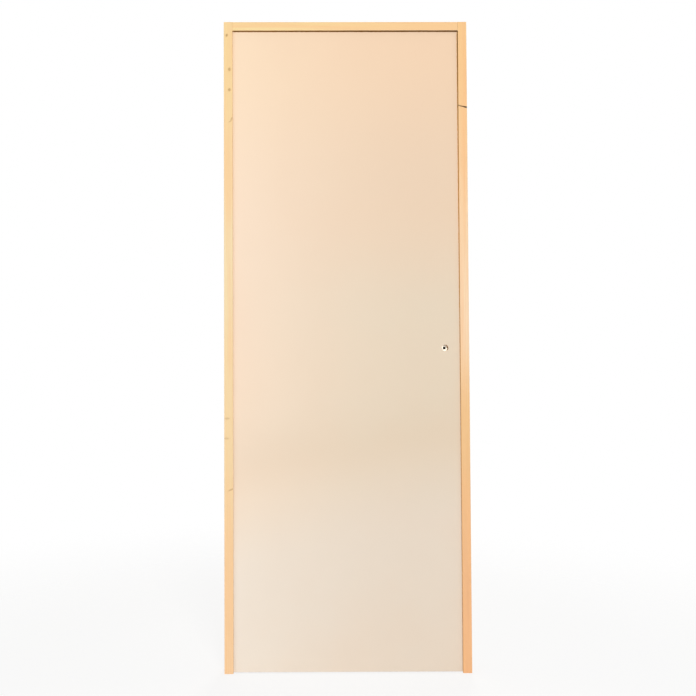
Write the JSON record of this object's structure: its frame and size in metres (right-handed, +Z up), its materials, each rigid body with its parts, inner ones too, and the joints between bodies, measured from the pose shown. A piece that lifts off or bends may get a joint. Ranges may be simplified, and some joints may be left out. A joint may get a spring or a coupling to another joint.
{
  "type": "flush hollow core door",
  "caption": "Flush hollow core door leaf hung in a slim rebated softwood frame, with lift-off hinges behind and a latch follower in its spindle hole.",
  "frame": {"origin": "foot of the hinge jamb's outer face, the face fixed to the wall, at mid depth of the frame", "axes": "+Z up, +X from the hinge jamb to the lock jamb, +Y from the pictured face to the hinge side the leaf opens to"},
  "size_m": [0.778, 0.0595, 2.068],
  "materials": {
    "frame_pine": "planed, unfinished softwood",
    "cream_facing": "smooth cream primed hardboard",
    "border_softwood": "sawn softwood",
    "core_paper": "raw kraft paper",
    "hinge_steel": "zinc plated",
    "zinc_steel": "zinc plated",
    "washer_brass": "bare brass"
  },
  "bodies": {
    "frame": {"hinge_jamb": "frame_pine", "strike_jamb": "frame_pine", "head_jamb": "frame_pine", "strike_plate": "zinc_steel", "hinge_top_frame_leaf": "hinge_steel", "hinge_top_pin": "hinge_steel", "hinge_top_washer": "washer_brass", "hinge_middle_frame_leaf": "hinge_steel", "hinge_middle_pin": "hinge_steel", "hinge_middle_washer": "washer_brass", "hinge_bottom_frame_leaf": "hinge_steel", "hinge_bottom_pin": "hinge_steel", "hinge_bottom_washer": "washer_brass"},
    "leaf": {"front_facing": "cream_facing", "back_facing": "cream_facing", "hinge_stile": "border_softwood", "lock_stile": "border_softwood", "top_rail": "border_softwood", "bottom_rail": "border_softwood", "lock_block": "border_softwood", "core_upper": "core_paper", "core_middle": "core_paper", "core_lower": "core_paper", "hinge_top_door_leaf": "hinge_steel", "hinge_middle_door_leaf": "hinge_steel", "hinge_bottom_door_leaf": "hinge_steel", "latch_case": "zinc_steel", "latch_forend": "zinc_steel", "latch_bolt": "zinc_steel"},
    "follower": {"latch_follower": "zinc_steel"}
  },
  "joints": [
    {"name": "leaf_swing", "type": "hinge", "parent": "frame", "child": "leaf", "pos_m": [0.0215, 0.0305, 1.023], "axis": [0, 0, 1], "range_deg": [0, 180]},
    {"name": "follower_turn", "type": "hinge", "parent": "leaf", "child": "follower", "pos_m": [0.703, 0.0035, 1.022], "axis": [0, -1, 0], "range_deg": [-45, 45]}
  ]
}
